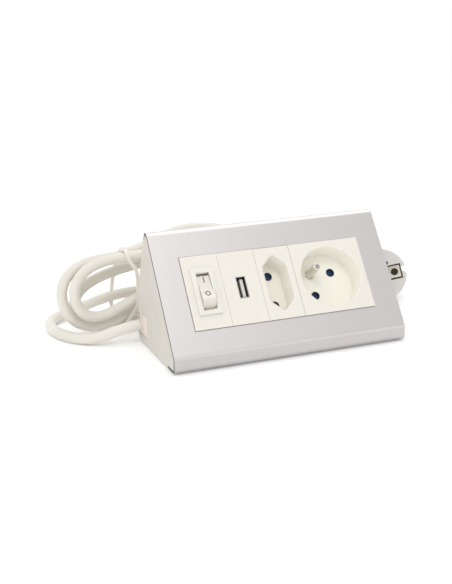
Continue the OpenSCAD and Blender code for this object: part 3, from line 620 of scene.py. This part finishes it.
def soft_corners(corners, radius, steps):
    """Points of a convex outline with round corners, each with its outward normal."""
    out = []
    count = len(corners)
    for i, corner in enumerate(corners):
        b = Vector(corner)
        into = (b - Vector(corners[i - 1])).normalized()
        away = (Vector(corners[(i + 1) % count]) - b).normalized()
        n0, n1 = Vector((into.y, -into.x)), Vector((away.y, -away.x))
        bend = math.acos(max(-1, min(1, n0.dot(n1))))
        middle = b - (n0 + n1).normalized() * radius / math.cos(bend / 2)
        a0 = math.atan2(n0.y, n0.x)
        for k in range(steps + 1):
            a = a0 + bend * k / steps
            n = Vector((math.cos(a), math.sin(a)))
            out.append((middle + n * radius, n))
    return out


def make_flat_insert():
    bm = bmesh.new()

    def ring(outline, offset, w):
        return [
            bm.verts.new(on_block(FLAT_U + p.x + n.x * offset, MID_V + p.y + n.y * offset, w)) for p, n in outline
        ]

    def skin(a, b, index=0):
        faces = []
        for k in range(len(a)):
            j = (k + 1) % len(a)
            faces.append(bm.faces.new((a[k], a[j], b[j], b[k])))
            faces[-1].material_index = index

    def plate(*loops, index=0):
        edges = []
        for loop in loops:
            for k in range(len(loop)):
                v, w = loop[k], loop[(k + 1) % len(loop)]
                edges.append(bm.edges.get((v, w)) or bm.edges.new((v, w)))
        made = bmesh.ops.triangle_fill(bm, edges=edges, use_dissolve=False, use_beauty=True)["geom"]
        for face in made:
            if isinstance(face, bmesh.types.BMFace):
                face.material_index = index

    mouth = soft_corners(FLAT_CORNERS, 2.0, 6)
    square = soft_corners([(-11.2, -22.45), (11.2, -22.45), (11.2, 22.45), (-11.2, 22.45)], 0.35, 3)
    lip = [
        (1.3 - 1.3 * math.sin(math.radians(a)), 0.5 - 1.3 * (1 - math.cos(math.radians(a)))) for a in range(0, 91, 15)
    ]
    inside = [ring(mouth, d, w) for d, w in lip]
    inside += [ring(mouth, 0, -13.3), ring(mouth, -0.2, -13.8), ring(mouth, -0.7, -14)]
    holes = []
    for hx, hy in FLAT_HOLES:
        turns = (2 * math.pi * k / 32 for k in range(32))
        circle = [(Vector((hx, hy)), Vector((math.cos(a), math.sin(a)))) for a in turns]
        holes.append([ring(circle, 2.9, -14), ring(circle, 2.65, -14.25), ring(circle, 2.65, -16)])
    outside = [ring(square, -0.3, 0.5), ring(square, -0.09, 0.41), ring(square, 0, 0.2), ring(square, 0, -1.5)]
    skirt = [ring(square, -0.25, -1.5), ring(square, -0.25, -18), ring(square, -1.45, -18), ring(square, -1.45, -1.5)]
    tub = [ring(mouth, 1.8, -1.5), ring(mouth, 1.8, -16)]
    plate(outside[0], inside[0])
    # Index 2 is the lighter recess plastic, painted light; index 1 paints the pin hole walls black as painted shade.
    for chain, index in ((inside[:len(lip)], 0), (inside[len(lip) - 1:], 2), (outside, 0), (skirt, 0), (tub, 0)):
        for a, b in zip(chain, chain[1:]):
            skin(a, b, index)
    skin(outside[-1], skirt[0])
    plate(inside[-1], *(h[0] for h in holes), index=2)
    for h in holes:
        skin(h[0], h[1], 2)
        skin(h[1], h[2], 1)
    plate(skirt[-1], tub[0])
    plate(tub[-1], *(h[2] for h in holes))
    for v in (-0.6, 44.6):
        made = bmesh.ops.create_cube(bm, size=1.0)["verts"]
        for vert in made:
            vert.co = on_block(FLAT_U + vert.co.x * 8, v + 0.5 + vert.co.y, -8 + vert.co.z * 2)
    bmesh.ops.recalc_face_normals(bm, faces=bm.faces)
    for face in bm.faces:
        face.smooth = True
    for edge in bm.edges:
        if len(edge.link_faces) == 2 and edge.calc_face_angle(0) > math.radians(40):
            edge.smooth = False
    mesh = bpy.data.meshes.new("insert_flat")
    bm.to_mesh(mesh)
    bm.free()
    obj = link(mesh, "insert_flat")
    even_shading(obj)
    paint(obj, MATERIALS["module"])
    # slot 1: black painted shade on the hole walls; slot 2: painted light inside the recess
    add_material(obj, BLACK_PAINTED_SHADE)
    add_material(obj, PAINTED_LIGHT_RECESS)
    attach(obj, "body")
    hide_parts("euro_module")
    return obj


make_flat_insert()
remake("switch_module", "insert_switch", 0.25)
remake("usb_module", "insert_usb", 0.25)
insert_earthed = remake("earthed_module", "insert_earthed", 1.2, weight=mouth_weight, segments=4, shape=hole_walls)
# slot 1: black painted shade on the pin hole walls; slot 2: painted light inside the recess
add_material(insert_earthed, BLACK_PAINTED_SHADE)
add_material(insert_earthed, PAINTED_LIGHT_RECESS)
remake("switch_body", "switch_bezel", 0.5, segments=3,
       weight=lambda p: 1.0 if to_block(p).z > 0.4 else 0.2)
remake("switch_rocker", "rocker_key", 0.55, segments=4)


ROCKER_AXIS = (11.2, 22.5, -3.2)
ROCKER_REST = math.radians(-16)


def rocker_point(x, along, lift):
    """A point on the rocker, in mm from its axis in its own untilted frame, at its rest tilt."""
    a = ROCKER_REST
    y = along * math.cos(a) - lift * math.sin(a)
    z = along * math.sin(a) + lift * math.cos(a)
    return on_block(ROCKER_AXIS[0] + x, ROCKER_AXIS[1] + y, ROCKER_AXIS[2] + z)


def rocker_top(along):
    return 5.4 + 0.9 * abs(along) / 7.8 if abs(along) < 7.8 else 6.3


def make_marks():
    """The off ring and on bar printed on the rocker, as thin raised ink."""
    bm = bmesh.new()
    lift = 0.03

    def ribbon(points, closed, half):
        inner, outer = [], []
        n = len(points)
        for i, (x, y) in enumerate(points):
            a = Vector(points[(i - 1) % n] if closed or i else points[i])
            b = Vector(points[(i + 1) % n] if closed or i < n - 1 else points[i])
            t = (b - a).normalized()
            nx, ny = -t.y * half, t.x * half
            for bucket, s in ((inner, -1), (outer, 1)):
                px, py = x + nx * s, y + ny * s
                top = rocker_point(px, py, rocker_top(py) + lift)
                low = rocker_point(px, py, rocker_top(py) - 0.15)
                bucket.append((bm.verts.new(top), bm.verts.new(low)))
        last = n if closed else n - 1
        for i in range(last):
            j = (i + 1) % n
            a, b = inner, outer
            bm.faces.new((a[i][0], a[j][0], b[j][0], b[i][0]))
            bm.faces.new((a[i][1], b[i][1], b[j][1], a[j][1]))
            bm.faces.new((a[i][0], a[i][1], a[j][1], a[j][0]))
            bm.faces.new((b[i][0], b[j][0], b[j][1], b[i][1]))
        if not closed:
            for i in (0, n - 1):
                bm.faces.new((inner[i][0], outer[i][0], outer[i][1], inner[i][1]))

    turns = (2 * math.pi * k / 40 for k in range(40))
    ring = [(1.35 * math.cos(a), -4.0 + 1.45 * math.sin(a)) for a in turns]
    ribbon(ring, True, 0.26)
    ribbon([(0.1, 3.7 + 0.4 * k) for k in range(10)], False, 0.28)
    bmesh.ops.recalc_face_normals(bm, faces=bm.faces)
    mesh = bpy.data.meshes.new("rocker_marks")
    bm.to_mesh(mesh)
    bm.free()
    obj = link(mesh, "rocker_marks")
    paint(obj, INK)
    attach(obj, "rocker")
    return obj


make_marks()


def quad_piece(name, quads, material, ride_on):
    """A small piece from loose four-sided faces given in metres."""
    bm = bmesh.new()
    for quad in quads:
        bm.faces.new([bm.verts.new(p) for p in quad])
    bmesh.ops.remove_doubles(bm, verts=bm.verts, dist=1e-6)
    bmesh.ops.recalc_face_normals(bm, faces=bm.faces)
    mesh = bpy.data.meshes.new(name)
    bm.to_mesh(mesh)
    bm.free()
    obj = link(mesh, name)
    paint(obj, material)
    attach(obj, ride_on)
    return obj


def make_usb_painted_shade():
    """A black lining inside the USB outlet's metal shell: painted shade for its dark inside."""
    def at(x, y, w):
        return on_block(33.5 + x, 22.3 + y, w)

    hx, hy, top, low = 2.46, 6.16, -0.25, -10.8
    corners = [(-hx, -hy), (hx, -hy), (hx, hy), (-hx, hy)]
    quads = []
    for k in range(4):
        (ax, ay), (bx, by) = corners[k], corners[(k + 1) % 4]
        quads.append([at(ax, ay, top), at(bx, by, top), at(bx, by, low), at(ax, ay, low)])
    quads.append([at(x, y, low) for x, y in corners])
    return quad_piece("usb_painted_shade", quads, BLACK_PAINTED_SHADE, "body")


make_usb_painted_shade()

# ---------------------------------------------------------------- plug
plug = remake("plug_body", "plug_body_moulded", 1.0, segments=4,
              weight=lambda p: 1.0 if to_plug(p).z < -2 or math.hypot(*to_plug(p).xy) > 17 else 0.25)
relief = remake("plug_strain_relief", "plug_sleeve", 0.4)


def make_plug_shadow():
    """Painted shade on the plug: a dark ring for the gap round its contact plate and a black disc at the bottom of its
    earth hole; also a flat dark oval.
    """
    quads = []
    outer = [(4.7, -5.1), (14.8, -5.1), (14.8, 5.1), (4.7, 5.1)]
    inner = [(5.6, -4.1), (13.9, -4.1), (13.9, 4.1), (5.6, 4.1)]
    for k in range(4):
        j = (k + 1) % 4
        quads.append([on_plug(*corner, -0.4) for corner in (outer[k], outer[j], inner[j], inner[k])])
    disc = [(10 + 2.4 * math.cos(math.pi * k / 12), 2.4 * math.sin(math.pi * k / 12)) for k in range(24)]
    for k in range(0, 24, 2):
        quads.append([on_plug(10, 0, -2.2), *(on_plug(*disc[i % 24], -2.2) for i in (k, k + 1, k + 2))])
    dot = [(6.3 + 0.9 * math.cos(math.pi * k / 8), 7.2 + 1.3 * math.sin(math.pi * k / 8)) for k in range(16)]
    for k in range(0, 16, 2):
        quads.append([on_plug(6.3, 7.2, 0.03), *(on_plug(*dot[i % 16], 0.03) for i in (k, k + 1, k + 2))])
    return quad_piece("plug_painted_shade_and_oval", quads, DARK_AND_PAINTED_SHADE, "body")


plug_painted_shade_and_oval = make_plug_shadow()

# ---------------------------------------------------------------- the CAD nodes that stay
for name, obj in nodes.items():
    paint(obj, MATERIALS[RECORD_SLOT[name]])
    for poly in obj.data.polygons:
        poly.use_smooth = True
    obj.data.set_sharp_from_angle(angle=math.radians(32))


# ---------------------------------------------------------------- floor, light
def make_floor():
    bm = bmesh.new()
    bmesh.ops.create_grid(bm, x_segments=8, y_segments=8, size=6.0)
    mesh = bpy.data.meshes.new("floor")
    bm.to_mesh(mesh)
    bm.free()
    obj = link(mesh, "floor")
    obj.location = (0, 0, -0.0002)
    m = Nodes("floor_paper")
    m.link(m.ramp(m.noise(3.0), [(0.2, (0.93, 0.93, 0.93)), (0.8, (0.95, 0.95, 0.95))]), m.shader.inputs["Base Color"])
    m.shader.inputs["Roughness"].default_value = 0.9
    m.shader.inputs["Emission Color"].default_value = (1, 1, 1, 1)
    m.shader.inputs["Emission Strength"].default_value = 0.10
    paint(obj, m.mat)


def area(name, place, target, size, power, colour=(1, 1, 1)):
    data = bpy.data.lights.new(name, "AREA")
    data.shape = "RECTANGLE"
    data.size, data.size_y = size
    data.energy = power
    data.color = colour
    obj = bpy.data.objects.new(name, data)
    bpy.context.scene.collection.objects.link(obj)
    obj.location = place
    obj.rotation_mode = "QUATERNION"
    obj.rotation_quaternion = (Vector(target) - Vector(place)).to_track_quat("-Z", "Y")


def make_light():
    world = bpy.data.worlds.new("studio")
    world.use_nodes = True
    bpy.context.scene.world = world
    tree = world.node_tree
    tree.nodes["Background"].inputs["Strength"].default_value = 1.0
    coord = tree.nodes.new("ShaderNodeTexCoord")
    toward = tree.nodes.new("ShaderNodeVectorMath")
    toward.operation = "DOT_PRODUCT"
    toward.inputs[1].default_value = Vector((0.62, -0.50, 0.60)).normalized()
    tree.links.new(coord.outputs["Generated"], toward.inputs[0])
    ramp = tree.nodes.new("ShaderNodeValToRGB")
    ramp.color_ramp.elements[0].position = 0.85
    ramp.color_ramp.elements[0].color = (1, 1, 1, 1)
    ramp.color_ramp.elements[1].position = 0.99
    ramp.color_ramp.elements[1].color = (0.42, 0.42, 0.42, 1)
    tree.links.new(toward.outputs["Value"], ramp.inputs["Fac"])
    tree.links.new(ramp.outputs["Color"], tree.nodes["Background"].inputs["Color"])
    area("key", (-0.25, -0.45, 0.75), (-0.05, 0, 0.03), (0.3, 0.3), 1.3)
    area("top", (0.3, 0.3, 0.95), (0, 0, 0.06), (0.4, 0.4), 1.3)


make_floor()
make_light()
bpy.context.scene.view_settings.view_transform = "Standard"
